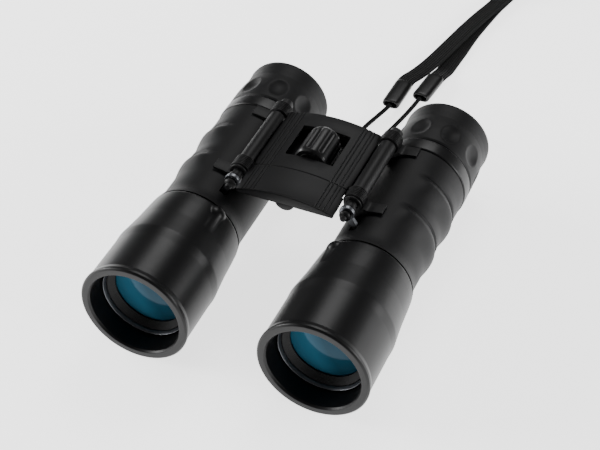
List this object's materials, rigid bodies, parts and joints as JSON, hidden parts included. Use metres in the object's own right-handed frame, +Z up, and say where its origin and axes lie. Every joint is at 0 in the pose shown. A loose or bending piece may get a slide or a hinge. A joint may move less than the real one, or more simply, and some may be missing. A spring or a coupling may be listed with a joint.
{
  "type": "folding roof-prism binoculars",
  "caption": "Compact black binoculars with two straight barrels folding on a double-hinged bridge, a central focus wheel, rubber eyecups and a neck strap rolled up behind.",
  "frame": {"origin": "on the resting plane, under the middle of the body between the barrels", "axes": "+Z up, barrels along Y with the objectives at -Y and the eyepieces at +Y, +X towards the user's left barrel"},
  "size_m": [0.1212, 0.3681, 0.0524],
  "materials": {
    "rubber_armour": "fine matt, moulded",
    "housing_coat": "soft satin coat",
    "barrel_shell": "satin",
    "satin_metal": "satin",
    "black_metal": "satin black",
    "coated_glass": "multi-coated",
    "prism_glass": "polished",
    "black_plastic": "satin",
    "eyecup_rubber": "matt",
    "bright_steel": "polished",
    "bridge_paint": "satin",
    "strap_cord": "braided",
    "strap_webbing": "ribbed webbing",
    "sleeve_plastic": "satin",
    "tie_rubber": "matt"
  },
  "bodies": {
    "bridge": {"bridge_base": "black_metal", "bridge_top_plate": "bridge_paint", "bridge_screw_1": "bright_steel", "bridge_screw_2": "bright_steel", "strap_bar": "bright_steel", "right_hinge_pin": "black_metal", "right_hinge_bush": "black_metal", "left_hinge_pin": "black_metal", "left_hinge_bush": "black_metal", "right_strap_cord": "strap_cord", "right_strap_sleeve": "sleeve_plastic", "right_strap_webbing": "strap_webbing", "left_strap_cord": "strap_cord", "left_strap_sleeve": "sleeve_plastic", "left_strap_webbing": "strap_webbing", "strap_roll": "strap_webbing", "strap_tie": "tie_rubber"},
    "right_barrel": {"right_barrel_body": "barrel_shell", "right_barrel_armour": "rubber_armour", "right_objective_housing": "housing_coat", "right_prism_cage": "black_plastic", "right_prism_front": "prism_glass", "right_prism_roof": "prism_glass", "right_eyepiece_flange": "black_plastic"},
    "left_barrel": {"left_barrel_body": "barrel_shell", "left_barrel_armour": "rubber_armour", "left_objective_housing": "housing_coat", "left_prism_cage": "black_plastic", "left_prism_front": "prism_glass", "left_prism_roof": "prism_glass", "left_eyepiece_flange": "black_plastic", "left_eyepiece_barrel": "black_metal", "left_field_lens": "coated_glass", "left_eye_lens": "coated_glass", "left_eyepiece_ring": "eyecup_rubber", "left_eyecup": "eyecup_rubber"},
    "right_objective_group": {"right_objective_cell": "satin_metal", "right_objective_retainer": "black_metal", "right_objective_crown": "coated_glass", "right_objective_flint": "coated_glass", "right_focus_lever": "satin_metal", "right_lever_screw": "bright_steel"},
    "left_objective_group": {"left_objective_cell": "satin_metal", "left_objective_retainer": "black_metal", "left_objective_crown": "coated_glass", "left_objective_flint": "coated_glass", "left_focus_lever": "satin_metal", "left_lever_screw": "bright_steel"},
    "right_eyepiece": {"right_eyepiece_barrel": "black_metal", "right_field_lens": "coated_glass", "right_eye_lens": "coated_glass"},
    "right_dioptre": {"right_dioptre_ring": "eyecup_rubber", "right_eyecup": "eyecup_rubber"},
    "focus_wheel": {"focus_wheel": "black_plastic", "focus_spindle": "bright_steel"},
    "focus_carriage": {"focus_yoke": "satin_metal", "right_focus_rod": "black_metal", "left_focus_rod": "black_metal"}
  },
  "joints": [
    {"name": "right_barrel_fold", "type": "hinge", "parent": "bridge", "child": "right_barrel", "pos_m": [-0.0248, 0, 0.0446], "axis": [0, 1, 0], "range_deg": [-30, 0]},
    {"name": "left_barrel_fold", "type": "hinge", "parent": "bridge", "child": "left_barrel", "pos_m": [0.0248, 0, 0.0446], "axis": [0, 1, 0], "range_deg": [0, 30]},
    {"name": "focus_carriage_slide", "type": "slide", "parent": "bridge", "child": "focus_carriage", "axis": [0, 1, 0], "range_m": [-0.002, 0.002]},
    {"name": "focus_wheel_turn", "type": "hinge", "parent": "bridge", "child": "focus_wheel", "pos_m": [0, 0, 0.0456], "axis": [0, 1, 0], "range_deg": [-270, 270]},
    {"name": "right_objective_slide", "type": "slide", "parent": "right_barrel", "child": "right_objective_group", "axis": [0, 1, 0], "range_m": [-0.002, 0.002]},
    {"name": "left_objective_slide", "type": "slide", "parent": "left_barrel", "child": "left_objective_group", "axis": [0, 1, 0], "range_m": [-0.002, 0.002]},
    {"name": "dioptre_slide", "type": "slide", "parent": "right_barrel", "child": "right_eyepiece", "axis": [0, 1, 0], "range_m": [-0.001, 0.001]},
    {"name": "dioptre_turn", "type": "hinge", "parent": "right_barrel", "child": "right_dioptre", "pos_m": [-0.0376, 0, 0.023], "axis": [0, 1, 0], "range_deg": [-75, 75]}
  ],
  "couplings": [
    {"joint": "focus_wheel_turn", "follows": "focus_carriage_slide", "rad_per_m": 2350},
    {"joint": "right_objective_slide", "follows": "focus_carriage_slide", "ratio": 1},
    {"joint": "left_objective_slide", "follows": "focus_carriage_slide", "ratio": 1},
    {"joint": "dioptre_turn", "follows": "dioptre_slide", "rad_per_m": 1305}
  ]
}
